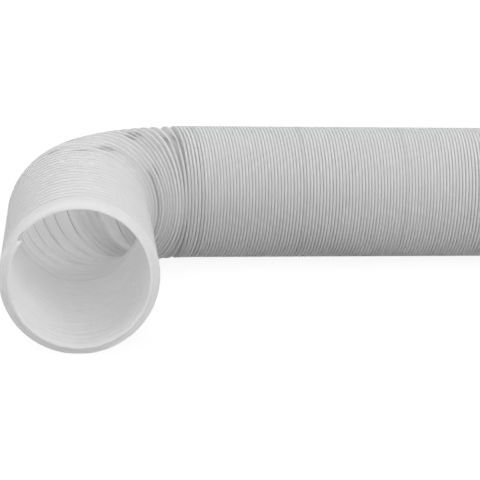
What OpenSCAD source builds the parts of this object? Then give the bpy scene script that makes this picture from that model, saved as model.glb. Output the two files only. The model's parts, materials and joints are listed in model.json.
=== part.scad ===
// Flexible air duct: a pleated plastic film wall held open by turns of spring wire.
// The far run is pushed closed, the bend is closed on its inside, the mouth end is drawn out.

/* [Wall] */
// Radius over the crests of the pleats
duct_r = 75; // [60:1:100]
// Thickness of the film
film_t = 0.4; // [0.3:0.05:0.5]
// Thickness of the doubled film over each wire
bead_t = 0.8; // [0.7:0.05:1]
// Width of each crest
crest_w = 2; // [1.8:0.1:2.4]
// Film from the middle of a crest to the next fold
half_film = 11.7; // [10.5:0.1:13]
// Half width of a closed fold
fold_w = 0.2; // [0.15:0.05:0.3]
// How much a fold widens for each millimetre that its turn is drawn out
fold_open = 0.14; // [0.05:0.01:0.2]

/* [Wire] */
// Diameter of the spring wire
wire_d = 1; // [0.8:0.1:1.1]
// Room between the wire and the film over it
wire_room = 0.35; // [0.3:0.05:0.5]
// Sides of the wire, drawn as a polygon
wire_sides = 8; // [6:1:12]
// Angle that the last turn of wire at the mouth is cut short by
wire_cut = 8; // [2:1:20]

/* [Run] */
// Crest to crest where the duct is pushed closed
closed_pitch = 3.75; // [3.6:0.05:4.4]
// Turns in the closed run
run_turns = 95; // [20:1:120]
// Turns in the end piece of the run
far_turns = 3; // [2:1:6]
// How far the free edge leans out at the far end
far_lean = 0.5; // [0.4:0.1:1]

/* [Bend] */
// Radius of the bend at the middle of the duct
bend_r = 137; // [130:1:170]
// Angle of the bend
bend_deg = 87; // [80:1:90]
// Turns in the bend
bend_turns = 21; // [18:1:22]
// Sides of each turn in the bend
bend_sides = 26; // [18:4:26]

/* [Mouth] */
// Crest to crest where the duct is drawn out
mouth_pitch = 13.9; // [10:0.1:16]
// Turns drawn out behind the rim
mouth_turns = 16; // [8:1:20]
// How far the free edge leans out at the rim
rim_lean = 4.5; // [0.5:0.1:6]

/* [Fit] */
// Gap between turns that move on each other
turn_gap = 0.3; // [0.2:0.05:0.4]
// Depth of the flat that the duct lies on
floor_cut = 0.5; // [0.3:0.1:0.6]

/* [Hidden] */
$fn = 96;
half_crest = crest_w / 2;
turn_deg = bend_deg / bend_turns;
wire_r = duct_r - bead_t - wire_room - wire_d / 2;
axis_h = duct_r - floor_cut;
run_len = run_turns * closed_pitch;
far_len = (far_turns - 0.5) * closed_pitch + half_crest + far_lean + fold_w;
mouth_len = mouth_turns * mouth_pitch;
rim_len = mouth_pitch / 2 + half_crest + rim_lean + fold_w;

// A fold is [how far each leg runs along the duct, how deep it goes, half its width at the bottom]
function fold_half(pitch) = fold_w + fold_open * (pitch - closed_pitch);
function leg_run(pitch) = pitch / 2 - half_crest - fold_half(pitch);
function leg_len(pitch) = half_film - half_crest - fold_half(pitch);
function fold(pitch) = [
    leg_run(pitch),
    sqrt(pow(leg_len(pitch), 2) - pow(leg_run(pitch), 2)),
    fold_half(pitch)
];
closed_fold = fold(closed_pitch);
mouth_fold = fold(mouth_pitch);

// The free edge: the last leg leans out from its crest, as deep as the folds behind it
function free_edge(f, lean) = [lean, f[1], fold_w];

// Place along the duct, from the crest, where the inside of a leg is at radius r
function inside_at(f, r) =
    let (leg = norm([f[0], f[1]]), from_r = duct_r - film_t * f[0] / leg)
    half_crest - film_t * f[1] / leg + (from_r - r) * f[0] / f[1];

// One turn in [radius, place along the duct], crest at z, with folds a before it and b after it
function turn_outside(z, a, b) = [
    [duct_r - a[1], z - half_crest - a[0]],
    [duct_r, z - half_crest],
    [duct_r, z + half_crest],
    [duct_r - b[1], z + half_crest + b[0]]
];
function turn_inside(z, a, b) =
    let (
        bead_r = duct_r - bead_t,
        root_a = duct_r - a[1] - film_t,
        root_b = duct_r - b[1] - film_t
    ) [
        [root_b, z + inside_at(b, root_b)],
        [bead_r, z + inside_at(b, bead_r)],
        [bead_r, z - inside_at(a, bead_r)],
        [root_a, z - inside_at(a, root_a)]
    ];

// A row of turns revolved round the duct's axis, from turn_gap / 2 to end_z
module pleated_wall(turns, pitch, last_fold, end_z) {
    f = fold(pitch);
    start_z = turn_gap / 2;
    first_r = duct_r - f[1];
    last_r = duct_r - last_fold[1];
    outside = [
        for (i = [0 : turns - 1])
            each turn_outside((i + 0.5) * pitch, f, i == turns - 1 ? last_fold : f)
    ];
    inside = [
        for (i = [turns - 1 : -1 : 0])
            each turn_inside((i + 0.5) * pitch, f, i == turns - 1 ? last_fold : f)
    ];
    ends_out = [[last_r, end_z], [last_r - film_t, end_z]];
    ends_in = [[first_r - film_t, start_z], [first_r, start_z]];
    rotate_extrude() polygon(concat(outside, ends_out, inside, ends_in));
}

// Rings of wire, one under each crest
module wire_rings(turns, pitch) {
    for (i = [0 : turns - 1])
        translate([0, 0, (i + 0.5) * pitch]) wire_ring(360);
}

module wire_ring(sweep) {
    rotate_extrude(angle = sweep) translate([wire_r, 0]) circle(d = wire_d, $fn = wire_sides);
}

// The bend's turns are wedges: each leg keeps its length, so the folds are deep on the
// closed inside of the bend and shallow on the open outside.
corner_r = duct_r * (1 + 1 / cos(180 / bend_sides)) / 2;
inner_corner_r = corner_r - bead_t;
bend_leg = half_film - half_crest;
function half_pitch(phi, r) = (bend_r + r * cos(phi)) * tan(turn_deg / 2);
function bend_depth(phi, r) = sqrt(pow(bend_leg, 2) - pow(half_pitch(phi, r) - half_crest, 2));
function bend_fold(phi) =
    let (
        near_r = duct_r - bend_depth(phi, duct_r),
        depth = bend_depth(phi, near_r)
    ) [half_pitch(phi, duct_r - depth) - half_crest, depth];

// One corner of a turn: [radius, place along the duct] round the section, one side of the crest
function bend_side(phi) =
    let (
        f = bend_fold(phi),
        root_r = duct_r - f[1],
        bead_z = inside_at(f, duct_r - bead_t),
        root_z = inside_at(f, root_r)
    ) [
        [root_r, half_crest + f[0] - turn_gap / 2],
        [corner_r, half_crest],
        [inner_corner_r, bead_z],
        [root_r, root_z - turn_gap / 2]
    ];
function bend_section(phi) =
    let (s = bend_side(phi)) [
        [s[0][0], -s[0][1]], [s[1][0], -s[1][1]],
        s[1], s[0], s[3], s[2],
        [s[2][0], -s[2][1]], [s[3][0], -s[3][1]]
    ];
function lie_flat(y) = max(y, -axis_h);

module bend_turn() {
    section_n = 8;
    step = 360 / bend_sides;
    points = [
        for (i = [0 : bend_sides - 1])
            let (phi = -90 + (i + 0.5) * step)
            for (q = bend_section(phi))
                [q[0] * cos(phi), lie_flat(q[0] * sin(phi)), q[1]]
    ];
    function at(i, j) = (i % bend_sides) * section_n + j % section_n;
    faces = [
        for (i = [0 : bend_sides - 1], j = [0 : section_n - 1])
            each [
                [at(i, j), at(i, j + 1), at(i + 1, j + 1)],
                [at(i, j), at(i + 1, j + 1), at(i + 1, j)]
            ]
    ];
    polyhedron(points, faces);
}

// Places: the duct's box is centred on the origin and lies on z = 0
rim_crest = mouth_len + mouth_pitch / 2 + half_crest;
low_x = -(bend_r + duct_r) * sin(bend_deg) - rim_crest * cos(bend_deg);
high_x = run_len + far_len;
low_y = (bend_r - duct_r + mouth_fold[1]) * cos(bend_deg) - bend_r - (mouth_len + rim_len) * sin(bend_deg);
high_y = duct_r;
place = [-(low_x + high_x) / 2, -(low_y + high_y) / 2, axis_h];

module along_run(x) {
    translate(place + [x, 0, 0]) rotate([0, 90, 0]) children();
}

module round_bend(deg) {
    translate(place + [0, -bend_r, 0]) rotate([0, 0, deg]) translate([0, bend_r, 0]) children();
}

module in_bend(turn) {
    round_bend((turn - 0.5) * turn_deg) rotate([90, 0, 90]) children();
}

module along_mouth(s) {
    round_bend(bend_deg) translate([-s, 0, 0]) rotate([0, -90, 0]) children();
}

// What lies on the floor is cut flat there
module lying() {
    reach = 2000;
    difference() {
        children();
        translate([-reach / 2, -reach / 2, -reach]) cube(reach);
    }
}

function two_digits(k) = k < 10 ? str("0", k) : str(k);
function bend_name(kind, k) = str("bend_", kind, "_", two_digits(k));

film_white = [0.9, 0.9, 0.9];
wire_grey = [0.35, 0.35, 0.37];

module run_film() {
    color(film_white) lying() along_run(0)
        pleated_wall(run_turns, closed_pitch, closed_fold, run_len - turn_gap / 2);
}

module run_wire() {
    color(wire_grey) along_run(0) wire_rings(run_turns, closed_pitch);
}

module far_film() {
    color(film_white) lying() along_run(run_len)
        pleated_wall(far_turns, closed_pitch, free_edge(closed_fold, far_lean), far_len);
}

module far_wire() {
    color(wire_grey) along_run(run_len) wire_rings(far_turns, closed_pitch);
}

module bend_film(k) {
    color(film_white) in_bend(k) bend_turn();
}

module bend_wire(k) {
    color(wire_grey) in_bend(k) wire_ring(360);
}

module mouth_film() {
    color(film_white) lying() along_mouth(0)
        pleated_wall(mouth_turns, mouth_pitch, mouth_fold, mouth_len - turn_gap / 2);
}

module mouth_wire() {
    color(wire_grey) along_mouth(0) wire_rings(mouth_turns, mouth_pitch);
}

module rim_film() {
    color(film_white) lying() along_mouth(mouth_len)
        pleated_wall(1, mouth_pitch, free_edge(mouth_fold, rim_lean), rim_len);
}

module rim_wire() {
    color(wire_grey) along_mouth(mouth_len) translate([0, 0, mouth_pitch / 2])
        wire_ring(360 - wire_cut);
}

run_film();
run_wire();
far_film();
far_wire();
for (k = [1 : bend_turns]) bend_film(k);
for (k = [1 : bend_turns]) bend_wire(k);
mouth_film();
mouth_wire();
rim_film();
rim_wire();
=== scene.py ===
import json
import math

import bmesh
import bpy
from mathutils import Matrix, Vector


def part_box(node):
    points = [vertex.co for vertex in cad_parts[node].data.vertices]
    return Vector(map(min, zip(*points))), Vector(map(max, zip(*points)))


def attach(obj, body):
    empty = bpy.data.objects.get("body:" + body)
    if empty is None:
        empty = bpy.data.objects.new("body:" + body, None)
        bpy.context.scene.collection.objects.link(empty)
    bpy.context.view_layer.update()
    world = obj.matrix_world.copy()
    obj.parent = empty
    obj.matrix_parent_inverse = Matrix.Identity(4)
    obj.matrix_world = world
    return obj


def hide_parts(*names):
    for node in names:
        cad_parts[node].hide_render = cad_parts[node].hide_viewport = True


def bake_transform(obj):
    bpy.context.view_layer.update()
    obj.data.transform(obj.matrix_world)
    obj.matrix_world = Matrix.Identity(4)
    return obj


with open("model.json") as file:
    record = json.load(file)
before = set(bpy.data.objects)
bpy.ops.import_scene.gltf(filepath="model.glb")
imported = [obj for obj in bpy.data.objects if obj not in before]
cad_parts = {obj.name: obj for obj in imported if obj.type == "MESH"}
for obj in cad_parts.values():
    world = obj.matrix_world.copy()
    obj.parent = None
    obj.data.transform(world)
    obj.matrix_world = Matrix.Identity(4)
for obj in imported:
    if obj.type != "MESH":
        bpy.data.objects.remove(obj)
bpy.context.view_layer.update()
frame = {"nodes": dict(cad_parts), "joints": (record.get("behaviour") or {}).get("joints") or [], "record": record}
scene = bpy.context.scene
print("frame loaded with", len(frame["nodes"]), "nodes")

# the wound film, in metres
duct = {
    "closedPitch": 0.00375,  # crest to crest where it is pushed closed
    "filmPerTurn": 0.0234,   # film from one wire to the next, measured along the fold
    "beadClosed": 0.00165,   # half width of the bead over the wire, in a closed turn
    "beadOpen": 0.0011,      # and in a turn that is drawn out
    "openFrom": 0.004,       # half a turn's length from which the bead is at its narrowest
    "beadFills": 0.93,       # most of half a turn's length that the bead may take up
    "beadRise": 0.0013,      # height of the bead over the folds beside it
    "filmThick": 0.0004,
    "sides": 72,             # steps round one turn
    "beadSteps": 6,          # across a bead
    "foldSteps": 4,          # from a bead to the bottom of the fold
    "floorGap": 0.0001,
}
columnsPerTurn = duct["beadSteps"] + 2 * duct["foldSteps"]
beadShare = duct["beadSteps"] / columnsPerTurn

# what lies closer together than this is one
merge = {
    "grid": 1e-4,            # in steps of the grid, before it is wound
    "turn": 1e-6,            # as part of a turn
    "film": 1e-6,
    "wire": 1e-7,
    "cut": 1e-7,
}

# the bend, read from its hinges, which sit on its outer wall
bendJoints = [joint for joint in frame["joints"] if joint["name"].startswith("bend_")]
firstPivot = Vector(bendJoints[0]["pos_m"])
secondPivot = Vector(bendJoints[1]["pos_m"])
hingeAngle = -math.radians(bendJoints[0]["range_deg"][0])
runLow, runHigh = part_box("run_film")
crestRadius = (runHigh.y - runLow.y) / 2
outerRadius = (secondPivot - firstPivot).length / (2 * math.sin(hingeAngle / 2))
bendRadius = outerRadius - crestRadius
axisHeight = runHigh.z - crestRadius
bendCentre = Vector((firstPivot.x, firstPivot.y - outerRadius, axisHeight))
bendAngle = hingeAngle * len(bendJoints)
bendLength = bendRadius * bendAngle

# where the run ends, as lengths along the middle of the duct from the start of the bend
mounts = {mount["name"]: mount for mount in frame["record"]["mounts"]}
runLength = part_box("far_film")[0].x - bendCentre.x
farEnd = Vector(mounts["far_bore"]["pos_m"]).x - bendCentre.x

mm = 0.001
winding = {
    # crest to crest along the top of the bend, in millimetres:
    # closed at first, then pulled open unevenly
    "bendGaps": (4.4, 4.2, 4.6, 4, 5.2, 13.1, 13.6, 6.9, 13.8, 8.9, 8.7, 9.8, 13.6, 13.7, 14.5,
                 15, 16, 16, 15),
    "innerStart": -0.0064,   # where the first of these turns is on the inside of the bend
    "innerOpens": 13,        # turn from which the inside opens towards the mouth
    "mouthTurns": 17,        # from the last of these turns to the rim
    "rimFromBend": 0.2224,   # from the end of the bend to the rim
    "shift": 0.75,           # part of a turn by which the winding runs ahead
    "leanFades": 45,         # turns of the run over which the lean of the bend's first turn fades
    "sway": math.radians(-4.1),      # lean of the turns in the far half of the run
    "swayTurns": 58,                 # turns from the far end over which it comes and goes
    "swayPower": 1.7,                # leans them most a third of the way from the far end
    "seam": math.radians(35),        # where the free edge of the strip ends at the mouth
    "endSkew": math.radians(21),     # how much earlier the crest ends than the free edge
    "wireShows": math.radians(1.6),  # wire that sticks out of the end of its bead
}
bendWindings = len(winding["bendGaps"])
bendMarks = [mm * sum(winding["bendGaps"][:i]) for i in range(bendWindings + 1)]
rimAlong = bendLength + winding["rimFromBend"]
mouthPitch = (rimAlong - bendMarks[-1]) / winding["mouthTurns"]
bendStop = bendWindings + (bendLength - bendMarks[-1]) / mouthPitch
innerLength = bendLength - crestRadius * bendAngle
innerSpread = ((innerLength - winding["innerStart"] - duct["closedPitch"] * bendStop)
               / (bendStop - winding["innerOpens"]) ** 2)
lastTurn = bendWindings + winding["mouthTurns"]
firstTurn = -round(farEnd / duct["closedPitch"] + winding["shift"] + 0.5)


def sectionAt(along):
    # middle of the duct there, the way it runs on, and the outside of the bend
    turned = min(max(along / bendRadius, 0), bendAngle)
    outward = Vector((-math.sin(turned), math.cos(turned), 0))
    onward = Vector((-math.cos(turned), -math.sin(turned), 0))
    middle = bendCentre + outward * bendRadius + onward * (along - turned * bendRadius)
    return middle, onward, outward


def middleAt(turns):
    # length along the middle of the duct after so many turns from the start of the bend
    tally = turns + winding["shift"]
    if tally < 0:
        return tally * duct["closedPitch"]
    if tally < bendWindings:
        whole = int(tally)
        return bendMarks[whole] + (tally - whole) * (bendMarks[whole + 1] - bendMarks[whole])
    return bendMarks[-1] + (tally - bendWindings) * mouthPitch


def headingAt(turns):
    # how far the ring of that turn is turned from the run:
    # the inside of the bend stays closed for some turns, then opens
    tally = turns + winding["shift"]
    if tally >= bendStop:
        return bendAngle
    if tally >= 0:
        inside = (winding["innerStart"] + duct["closedPitch"] * tally
                  + innerSpread * max(tally - winding["innerOpens"], 0) ** 2)
        return (middleAt(turns) - inside) / crestRadius
    lean = -winding["innerStart"] / crestRadius * max(1 + tally / winding["leanFades"], 0) ** 2
    away = min(max((tally - firstTurn) / winding["swayTurns"], 0), 1)
    return lean + winding["sway"] * math.sin(math.pi * (1 - away) ** winding["swayPower"])


def sideLength(turns, side):
    # length along the crests at one side of the duct, an angle from the outside of the bend
    return middleAt(turns) + crestRadius * math.cos(side) * headingAt(turns)


def middleFromSide(length, side):
    # the length along the middle that lies beside it
    lever = crestRadius * math.cos(side)
    if length < 0:
        return length
    if length < bendAngle * (bendRadius + lever):
        return length * bendRadius / (bendRadius + lever)
    return length - bendAngle * lever


def wallAt(length, side):
    # middle of the duct beside that point of the wall, the way it runs on, and the way out
    middle, onward, outward = sectionAt(middleFromSide(length, side))
    return middle, onward, outward * math.cos(side) + Vector((0, 0, math.sin(side)))


# length of a quarter of an ellipse, close enough for film: (a^n + b^n)^(1/n)
quarterPower = math.log(2) / math.log(math.pi / 2)
leastSpare = 1e-9  # what a fold that is pulled flat still has over


def quarterLength(a, b):
    return (a ** quarterPower + b ** quarterPower) ** (1 / quarterPower)


def beadHalfAt(halfPitch):
    closed = (duct["openFrom"] - halfPitch) / (duct["openFrom"] - duct["closedPitch"] / 2)
    width = duct["beadOpen"] + (duct["beadClosed"] - duct["beadOpen"]) * min(max(closed, 0), 1)
    return min(width, duct["beadFills"] * halfPitch)


def foldDepth(opening, foldFilm):
    # the film keeps its length, so a fold that opens gets shallower
    spare = foldFilm ** quarterPower - opening ** quarterPower
    return max(spare, leastSpare) ** (1 / quarterPower)


# the free edge of the last turn, a leg that leans out of the mouth and ends in a rolled hem
lip = {
    "groove": (0.0020, 0.0062),  # out from the crest, in from the crest
    "shoulder": (0.0085, 0.0040),
    "edge": (0.0100, 0.0086),
    "hemRadius": 0.001,
    "hemTurn": math.radians(200),
    "hemColumns": 5,
    "growsOver": math.radians(50),  # from the seam on, where it is still the leg of a fold
    "underside": 270,          # degrees, where the duct lies on the hem
    "crinkle": 0.0007,         # how far the hem wavers there
    "crinkleLength": 0.0105,
    "crinkleSpread": math.radians(24),
    "crossWaves": 0.62,        # waves in and out for each wave along the duct
    "crossPhase": 1,
}


def lipPoint(start, share, side, hem):
    # a leg that bends into a groove and over a shoulder to the hem, then the roll of the hem
    groove, shoulder, edge = Vector(lip["groove"]), Vector(lip["shoulder"]), Vector(lip["edge"])
    fromBelow = math.degrees(side) % 360 - lip["underside"]
    fromBelow /= math.degrees(lip["crinkleSpread"])
    waver = lip["crinkle"] * math.exp(-fromBelow * fromBelow)
    waves = side * (crestRadius - edge.y) / lip["crinkleLength"]
    edge.x += waver * math.sin(2 * math.pi * waves)
    edge.y += waver * math.sin(2 * math.pi * lip["crossWaves"] * waves + lip["crossPhase"])
    rest = 1 - share
    point = (rest ** 3 * Vector(start)
             + 3 * rest * share * (rest * groove + share * shoulder)
             + share ** 3 * edge)
    if hem:
        ahead = (edge - shoulder).normalized()
        rolled = lip["hemTurn"] * hem
        point += lip["hemRadius"] * (math.sin(rolled) * ahead
                                     + (1 - math.cos(rolled)) * Vector((-ahead.y, ahead.x)))
    return point


def filmPoint(turn, across, side, hem):
    # across goes from -1, the bottom of one fold, over the bead at 0 to 1, the bottom of the next
    way = 1 if across > 0 else -1
    crestTurns = turn + 0.5 + side / (2 * math.pi)
    crestLength = sideLength(crestTurns, side)
    halfPitch = abs(sideLength(crestTurns + way * 0.5, side) - crestLength)
    beadHalf = beadHalfAt(halfPitch)
    beadFilm = quarterLength(beadHalf, duct["beadRise"])
    foldFilm = duct["filmPerTurn"] / 2 - beadFilm
    share = abs(across)
    if share <= beadShare:
        angle = math.pi / 2 * share / beadShare
        offset = beadHalf * math.sin(angle)
        drop = duct["beadRise"] * (1 - math.cos(angle))
        fromCrest = beadFilm * share / beadShare
    else:
        downFold = (share - beadShare) / (1 - beadShare)
        angle = math.pi / 2 * downFold
        offset = halfPitch - (halfPitch - beadHalf) * math.cos(angle)
        drop = duct["beadRise"] + foldDepth(halfPitch - beadHalf, foldFilm) * math.sin(angle)
        fromCrest = beadFilm + foldFilm * downFold + hem * lip["hemRadius"] * lip["hemTurn"]
        if turn == lastTurn - 1 and way > 0:
            grown = min((side - winding["seam"]) / lip["growsOver"], 1)
            grown *= 2 - grown  # quickly at first, then gently
            leaning = lipPoint((beadHalf, duct["beadRise"]), downFold, side, hem)
            offset += grown * (leaning.x - offset)
            drop += grown * (leaning.y - drop)
    middle, _, radial = wallAt(crestLength + way * offset, side)
    point = middle + (crestRadius - drop) * radial
    point.z = max(point.z, duct["floorGap"])
    return point, Vector((crestTurns * 2 * math.pi * crestRadius, way * fromCrest, 0))


def trimEnd(wound, columns):
    # cuts the end of the strip askew: its free edge runs on further than its crest,
    # which is half a turn's columns away
    sides = duct["sides"]
    skewSteps = winding["endSkew"] / (2 * math.pi) * sides
    corner = Vector((columns, sides, 0))
    beyond = Vector((-2 * skewSteps, columnsPerTurn, 0))
    lastColumns = columns - columnsPerTurn
    faces = [face for face in wound.faces if face.calc_center_median().x > lastColumns]
    geom = set(faces)
    for face in faces:
        geom.update(face.edges[:] + face.verts[:])
    bmesh.ops.bisect_plane(wound, geom=list(geom), dist=merge["grid"],
                           plane_co=corner, plane_no=beyond)
    cutOff = []
    for face in wound.faces:
        centre = face.calc_center_median()
        if centre.x > lastColumns and (centre - corner).dot(beyond) > 0:
            cutOff.append(face)
    bmesh.ops.delete(wound, geom=cutOff, context="FACES")


def faceOutwards(wound):
    # the crests face away from the middle of the duct
    face = max(wound.faces, key=lambda f: f.calc_center_median().z)
    if face.normal.z < 0:
        bmesh.ops.reverse_faces(wound, faces=wound.faces)


def thickenFilm(wound):
    # the normals are kept, so that the cuts don't change the shading
    faceOutwards(wound)
    bmesh.ops.solidify(wound, geom=wound.faces[:], thickness=duct["filmThick"])
    wound.normal_update()
    smoothNormal = wound.verts.layers.float_vector.new("smoothNormal")
    for vert in wound.verts:
        vert[smoothNormal] = vert.normal


def windFilm(fromTurn, toTurn):
    # a grid with a column for each step across the turns and a row for each step round them,
    # wound into the pleated wall
    turns = toTurn - fromTurn
    columns = turns * columnsPerTurn
    hemColumns = lip["hemColumns"] if toTurn == lastTurn else 0
    wound = bmesh.new()
    bmesh.ops.create_grid(wound, x_segments=columns + hemColumns, y_segments=duct["sides"],
                          size=0.5)
    bmesh.ops.translate(wound, vec=(0.5, 0.5, 0), verts=wound.verts)
    bmesh.ops.scale(wound, vec=(columns + hemColumns, duct["sides"], 1), verts=wound.verts)
    if hemColumns:
        trimEnd(wound, columns)
    strip = wound.verts.layers.float_vector.new("strip")
    for vert in wound.verts:
        column = min(vert.co.x, columns)
        hem = max(vert.co.x - columns, 0) / lip["hemColumns"]
        turn = min(math.floor(column / columnsPerTurn + merge["turn"]), turns - 1)
        across = 2 * (column / columnsPerTurn - turn) - 1
        side = winding["seam"] + 2 * math.pi * vert.co.y / duct["sides"]
        vert.co, vert[strip] = filmPoint(fromTurn + turn, across, side, hem)
    bmesh.ops.remove_doubles(wound, verts=wound.verts, dist=merge["film"])
    wound.normal_update()
    thickenFilm(wound)
    return wound


wire = {
    "radius": 0.0005,
    "sides": 6,
    "seat": 0.0001,          # room under the film
}
wireCentre = crestRadius - duct["filmThick"] - wire["seat"] - wire["radius"]


def windWire(fromTurns, toTurns):
    # a grid wound into a tube that runs under the crests;
    # here a turn begins on the outside of the bend
    steps = round((toTurns - fromTurns) * duct["sides"])
    wound = bmesh.new()
    bmesh.ops.create_grid(wound, x_segments=steps, y_segments=wire["sides"], size=1)
    strip = wound.verts.layers.float_vector.new("strip")
    for vert in wound.verts:
        windings = fromTurns + (toTurns - fromTurns) * (vert.co.x + 1) / 2
        around = math.pi * (vert.co.y + 1)
        side = 2 * math.pi * windings
        middle, onward, radial = wallAt(sideLength(windings + 0.5, side), side)
        reach = wireCentre + wire["radius"] * math.cos(around)
        vert.co = middle + radial * reach + onward * wire["radius"] * math.sin(around)
        vert[strip] = Vector((windings * 2 * math.pi * crestRadius, around * wire["radius"], 0))
    bmesh.ops.remove_doubles(wound, verts=wound.verts, dist=merge["wire"])
    wound.normal_update()
    faceOutwards(wound)
    ends = [edge for edge in wound.edges if edge.is_boundary]
    bmesh.ops.holes_fill(wound, edges=ends, sides=0)
    return wound


def ringPlane(turns):
    # the plane of one turn, which winds on by half a pitch from one side of the duct to the other;
    # turns are whole where a crest passes the inside of the bend
    heading = headingAt(turns)
    tilt = duct["closedPitch"] / 2 / (2 * crestRadius)
    normal = Vector((-math.cos(heading), -math.sin(heading), tilt)).normalized()
    return sectionAt(middleAt(turns))[0], normal


def cutBetween(wound, fromPlane, toPlane):
    # keeps what lies between two planes and closes the cut
    for plane, keepOnward in ((fromPlane, True), (toPlane, False)):
        if plane is None:
            continue
        middle, onward = plane
        whole = wound.verts[:] + wound.edges[:] + wound.faces[:]
        cut = bmesh.ops.bisect_plane(wound, geom=whole, dist=merge["cut"],
                                     plane_co=middle, plane_no=onward,
                                     clear_inner=keepOnward, clear_outer=not keepOnward)
        edges = [item for item in cut["geom_cut"] if isinstance(item, bmesh.types.BMEdge)]
        filled = bmesh.ops.triangle_fill(wound, edges=edges, normal=onward, use_beauty=True)
        caps = [item for item in filled["geom"] if isinstance(item, bmesh.types.BMFace)]
        for cap in caps:
            if (cap.normal.dot(onward) > 0) == keepOnward:
                cap.normal_flip()


def addPiece(name, wound, material, node):
    mesh = bpy.data.meshes.new(name)
    wound.to_mesh(mesh)
    wound.free()
    mesh.materials.append(material)
    mesh.shade_smooth()
    if "smoothNormal" in mesh.attributes:
        normals = [item.vector for item in mesh.attributes["smoothNormal"].data]
        mesh.normals_split_custom_set_from_vertices(normals)
    piece = bpy.data.objects.new(name, mesh)
    scene.collection.objects.link(piece)
    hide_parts(node)
    return piece


def linear(hexColour):
    # sRGB hex to linear colour
    parts = [int(hexColour[i:i + 2], 16) / 255 for i in (0, 2, 4)]
    light = [c / 12.92 if c <= 0.04045 else ((c + 0.055) / 1.055) ** 2.4 for c in parts]
    return (*light, 1.0)


def addNode(tree, kind, settings=None, inputs=None):
    # inputs: socket name or number -> value, or (node, output) to link from
    node = tree.nodes.new(kind)
    for name, value in (settings or {}).items():
        setattr(node, name, value)
    for name, value in (inputs or {}).items():
        if isinstance(value, tuple) and isinstance(value[0], bpy.types.Node):
            tree.links.new(value[0].outputs[value[1]], node.inputs[name])
        else:
            node.inputs[name].default_value = value
    return node


def newMaterial(name):
    material = bpy.data.materials.new(name)
    material.use_nodes = True
    tree = material.node_tree
    tree.nodes.clear()
    return material, tree


def addStripNoise(tree, strip, longMm, wideMm, detail):
    # noise drawn out along the strip, its grain so many millimetres long and wide
    stretched = addNode(tree, "ShaderNodeVectorMath", {"operation": "MULTIPLY"},
                        {0: (strip, "Vector"), 1: (1000 / longMm, 1000 / wideMm, 1.0)})
    return addNode(tree, "ShaderNodeTexNoise", {},
                   {"Vector": (stretched, 0), "Scale": 1.0, "Detail": detail})


filmLook = {
    "colour": "FAFAFA",
    "streak": "F2F2F2",
    "streakMm": 3,           # width of the faint streaks that calendering leaves along the strip
    "streakLongMm": 50,
    "streakDetail": 3.0,
    "streakRange": (0.3, 0.7),  # noise that goes from the smoothest film to the roughest
    "smoothest": 0.36,
    "roughest": 0.52,
    "crinkleMm": 2.2,        # fine creases from folding
    "crinkleDetail": 2.0,
    "crinkleDepth": 0.00005,
    "crinkleStrength": 0.25,
    "ior": 1.46,
    "through": 0.6,          # share of the light that goes through each face of the film
}


def makeFilmMaterial():
    # calendered white vinyl film: soft sheen, light glows through it, faint streaks and creases
    material, tree = newMaterial("calendered white vinyl film")
    strip = addNode(tree, "ShaderNodeAttribute", {"attribute_name": "strip"})
    streaks = addStripNoise(tree, strip, filmLook["streakLongMm"], filmLook["streakMm"],
                            filmLook["streakDetail"])
    colour = addNode(tree, "ShaderNodeMix", {"data_type": "RGBA"},
                     {"Factor": (streaks, "Fac"), "A": linear(filmLook["colour"]),
                      "B": linear(filmLook["streak"])})
    roughness = addNode(tree, "ShaderNodeMapRange", {},
                        {"Value": (streaks, "Fac"), "From Min": filmLook["streakRange"][0],
                         "From Max": filmLook["streakRange"][1],
                         "To Min": filmLook["smoothest"], "To Max": filmLook["roughest"]})
    creases = addNode(tree, "ShaderNodeTexNoise", {},
                      {"Vector": (strip, "Vector"), "Scale": 1000 / filmLook["crinkleMm"],
                       "Detail": filmLook["crinkleDetail"]})
    bump = addNode(tree, "ShaderNodeBump", {},
                   {"Height": (creases, "Fac"), "Strength": filmLook["crinkleStrength"],
                    "Distance": filmLook["crinkleDepth"]})
    shader = addNode(tree, "ShaderNodeBsdfPrincipled", {},
                     {"Base Color": (colour, "Result"), "Roughness": (roughness, "Result"),
                      "IOR": filmLook["ior"], "Normal": (bump, "Normal")})
    glow = addNode(tree, "ShaderNodeBsdfTranslucent", {},
                   {"Color": (colour, "Result"), "Normal": (bump, "Normal")})
    mixed = addNode(tree, "ShaderNodeMixShader", {},
                    {0: filmLook["through"], 1: (shader, 0), 2: (glow, 0)})
    addNode(tree, "ShaderNodeOutputMaterial", {}, {"Surface": (mixed, 0)})
    return material


wireLook = {
    "colour": "C4C4C2",
    "drawn": "A8A8A6",
    "lineMm": 0.2,           # lines left by drawing, wider than the real ones so that they show
    "lineLongMm": 20,
    "lineDetail": 2.0,
    "roughness": 0.38,
}


def makeWireMaterial():
    # drawn spring steel: light grey metal with long darker lines from the die
    material, tree = newMaterial("drawn spring steel")
    strip = addNode(tree, "ShaderNodeAttribute", {"attribute_name": "strip"})
    lines = addStripNoise(tree, strip, wireLook["lineLongMm"], wireLook["lineMm"],
                          wireLook["lineDetail"])
    colour = addNode(tree, "ShaderNodeMix", {"data_type": "RGBA"},
                     {"Factor": (lines, "Fac"), "A": linear(wireLook["colour"]),
                      "B": linear(wireLook["drawn"])})
    shader = addNode(tree, "ShaderNodeBsdfPrincipled", {},
                     {"Base Color": (colour, "Result"), "Metallic": 1.0,
                      "Roughness": wireLook["roughness"]})
    addNode(tree, "ShaderNodeOutputMaterial", {}, {"Surface": (shader, "BSDF")})
    return material


film = makeFilmMaterial()
steel = makeWireMaterial()
print("materials made")

# turns wound beyond each cut, because the cuts lean across the turns
overlap = {"before": 4, "after": 2}


def turnsBetween(fromTurns, toTurns):
    return (math.floor(fromTurns) - overlap["before"],
            min(math.ceil(toTurns) + overlap["after"], lastTurn))


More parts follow.
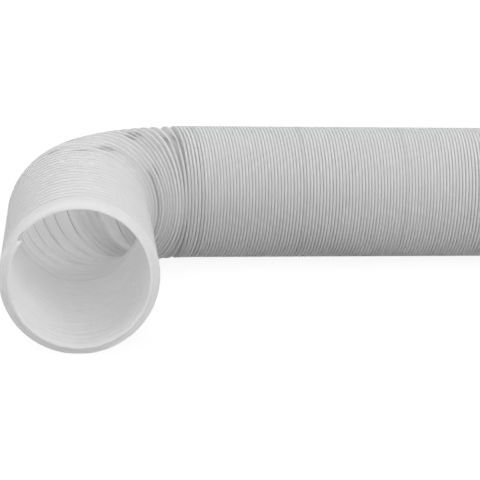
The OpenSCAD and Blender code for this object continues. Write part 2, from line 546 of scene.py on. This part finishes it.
def windStretch(name, nodeStem, filmTurns, wireTurns, planes, place):
    # film and wire of one stretch, cut at its ends and placed
    for kind, wind, turns, material in (("film", windFilm, filmTurns, film),
                                        ("wire", windWire, wireTurns, steel)):
        wound = wind(*turns)
        cutBetween(wound, *planes)
        place(addPiece(f"{kind}_{name}", wound, material, nodeStem.format(kind)))


# for each hinge, the fold nearest to it on the closed inside of the bend,
# and further on, where the inside is open, the film beside it
unfold = {
    "reach": 0.0004,         # half a length of film at the hinge
    "openReach": 0.002,      # the same where the inside is open
}
untilDoubled = duct["closedPitch"] / (2 * innerSpread)  # turns until the inside's pitch doubles
folds, reaches = [], []
for k in range(len(bendJoints)):
    hingeLength = k * hingeAngle * (bendRadius - crestRadius)
    tally = (hingeLength - winding["innerStart"]) / duct["closedPitch"]
    beyond = tally - winding["innerOpens"]
    if beyond > 0:
        tally = (winding["innerOpens"] - untilDoubled
                 + math.sqrt(untilDoubled * (untilDoubled + 2 * beyond)))
        folds.append(tally - winding["shift"])
        reaches.append(unfold["openReach"])
    else:
        folds.append(round(tally - winding["shift"] - 0.5) + 0.5)
        reaches.append(unfold["reach"])
cuts = [folds[0] - 0.5] + [(a + b) / 2 for a, b in zip(folds, folds[1:])] + [folds[-1] + 0.5]

# the run, in pieces between the bend and the far end
splitRun = {
    "parts": 3,              # pieces that the run is wound in
    "rigidEnd": 0.012,       # length of the run beside the bend
}
farCut = -runLength / duct["closedPitch"] - winding["shift"]
runCuts = [cuts[0] + (farCut - cuts[0]) * i / splitRun["parts"]
           for i in range(splitRun["parts"] + 1)]
for i in range(splitRun["parts"]):
    turns = turnsBetween(runCuts[i + 1], runCuts[i])
    planes = (ringPlane(runCuts[i + 1]), ringPlane(runCuts[i]))
    windStretch(f"run_{i + 1}", "run_{}", turns, turns, planes,
                lambda piece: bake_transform(piece))
print("run wound")

# the far end rides on its own
farStop = math.ceil(farCut) + overlap["after"]
wireStart = firstTurn + winding["seam"] / (2 * math.pi)
windStretch("far_end", "far_{}", (firstTurn, farStop), (wireStart, farStop),
            (None, ringPlane(farCut)), lambda piece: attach(piece, "far_end"))
print("far end wound")

# the bend, in pieces that each cross one hinge
for k in range(1, len(bendJoints) + 1):
    turns = turnsBetween(cuts[k - 1], cuts[k])
    planes = (ringPlane(cuts[k - 1]), ringPlane(cuts[k]))
    windStretch(f"turn_{k:02d}", f"bend_{{}}_{k:02d}", turns, turns, planes,
                lambda piece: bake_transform(piece))
print("bend wound")

# the drawn-out piece and the rim
mouthPlane = ringPlane(cuts[-1])
rimPlane = sectionAt(rimAlong)[:2]
turns = turnsBetween(cuts[-1], lastTurn - winding["shift"])
windStretch("mouth", "mouth_{}", turns, turns, (mouthPlane, rimPlane),
            lambda piece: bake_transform(piece))
rimStart = lastTurn - overlap["before"]
wireEnd = winding["seam"] - winding["endSkew"] + winding["wireShows"]
wireStop = lastTurn + wireEnd / (2 * math.pi)
windStretch("rim", "rim_{}", (rimStart, lastTurn), (rimStart, wireStop), (rimPlane, None),
            lambda piece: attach(piece, "rim"))
print("mouth and rim wound")

# a pale floor that stays white to the camera and keeps a soft shadow
stage = {
    "floorSize": 12.0,
    "floorColour": "FFFFFF",
    "glow": 0.86,
    "shadowColour": "7C7C7C",  # what the lamps add to the glow where nothing shades the floor
    "bounceColour": "8C8C8C",  # what the floor throws back at the duct
}


def addSeenRays(tree):
    # 1 where the camera looks, straight or by way of gloss or glass
    rays = addNode(tree, "ShaderNodeLightPath")
    seen = addNode(tree, "ShaderNodeMath", {"operation": "ADD", "use_clamp": True},
                   {0: (rays, "Is Camera Ray"), 1: (rays, "Is Glossy Ray")})
    return addNode(tree, "ShaderNodeMath", {"operation": "ADD", "use_clamp": True},
                   {0: (seen, 0), 1: (rays, "Is Transmission Ray")})


def makeFloorMaterial():
    # matt white paper sweep
    material, tree = newMaterial("matt white paper")
    seen = addSeenRays(tree)
    bounce = addNode(tree, "ShaderNodeBsdfDiffuse", {}, {"Color": linear(stage["bounceColour"])})
    lit = addNode(tree, "ShaderNodeBsdfDiffuse", {}, {"Color": linear(stage["shadowColour"])})
    glow = addNode(tree, "ShaderNodeEmission", {},
                   {"Color": linear(stage["floorColour"]), "Strength": stage["glow"]})
    shown = addNode(tree, "ShaderNodeAddShader", {}, {0: (glow, 0), 1: (lit, 0)})
    mixed = addNode(tree, "ShaderNodeMixShader", {},
                    {0: (seen, 0), 1: (bounce, 0), 2: (shown, 0)})
    addNode(tree, "ShaderNodeOutputMaterial", {}, {"Surface": (mixed, 0)})
    return material


floorShape = bmesh.new()
bmesh.ops.create_grid(floorShape, x_segments=1, y_segments=1, size=stage["floorSize"] / 2)
floorMesh = bpy.data.meshes.new("floor")
floorShape.to_mesh(floorMesh)
floorShape.free()
floorMesh.materials.append(makeFloorMaterial())
floor = bpy.data.objects.new("floor", floorMesh)
scene.collection.objects.link(floor)

studio = {
    "worldColour": "FFFFFF",
    "worldStrength": 0.62,   # as light on the duct
    "seenStrength": 1.0,     # as the white that the camera sees
    "lampSpread": math.radians(60),
    "lamps": {
        "key": {"strength": 1.0, "from": (-0.4, 0.25, 1.0)},   # overhead, left and a little behind
        "fill": {"strength": 1.5, "from": (0.3, -1.0, 0.33)},  # low, from the front
    },
}
world = bpy.data.worlds.new("studio")
scene.world = world
world.use_nodes = True
worldTree = world.node_tree
worldTree.nodes.clear()
worldColour = linear(studio["worldColour"])
skyLight = addNode(worldTree, "ShaderNodeBackground", {},
                   {"Color": worldColour, "Strength": studio["worldStrength"]})
backdrop = addNode(worldTree, "ShaderNodeBackground", {},
                   {"Color": worldColour, "Strength": studio["seenStrength"]})
worldMix = addNode(worldTree, "ShaderNodeMixShader", {},
                   {0: (addSeenRays(worldTree), 0), 1: (skyLight, 0), 2: (backdrop, 0)})
addNode(worldTree, "ShaderNodeOutputWorld", {}, {"Surface": (worldMix, 0)})
for lampName, setting in studio["lamps"].items():
    light = bpy.data.lights.new(lampName, "SUN")
    light.energy = setting["strength"]
    light.angle = studio["lampSpread"]
    lamp = bpy.data.objects.new(lampName, light)
    lamp.rotation_euler = Vector(setting["from"]).to_track_quat("Z", "Y").to_euler()
    scene.collection.objects.link(lamp)

view = {
    "fromBend": (-0.24717, -1.94740, 0.43431),  # from the start of the bend, on the duct's middle
    "pitch": math.radians(75.997),
    "yaw": math.radians(-8.892),
    "roll": math.radians(1.982),
    "lens": 131.87,
    "sensorWidth": 36,
}
cameraData = bpy.data.cameras.new("camera")
cameraData.lens = view["lens"]
cameraData.sensor_width = view["sensorWidth"]
camera = bpy.data.objects.new("camera", cameraData)
camera.location = sectionAt(0)[0] + Vector(view["fromBend"])
aim = (Matrix.Rotation(view["yaw"], 3, "Z") @ Matrix.Rotation(view["pitch"], 3, "X")
       @ Matrix.Rotation(view["roll"], 3, "Z"))
camera.rotation_euler = aim.to_euler()
scene.collection.objects.link(camera)
scene.camera = camera
scene.view_settings.view_transform = "Standard"
print("stage, light and camera set")
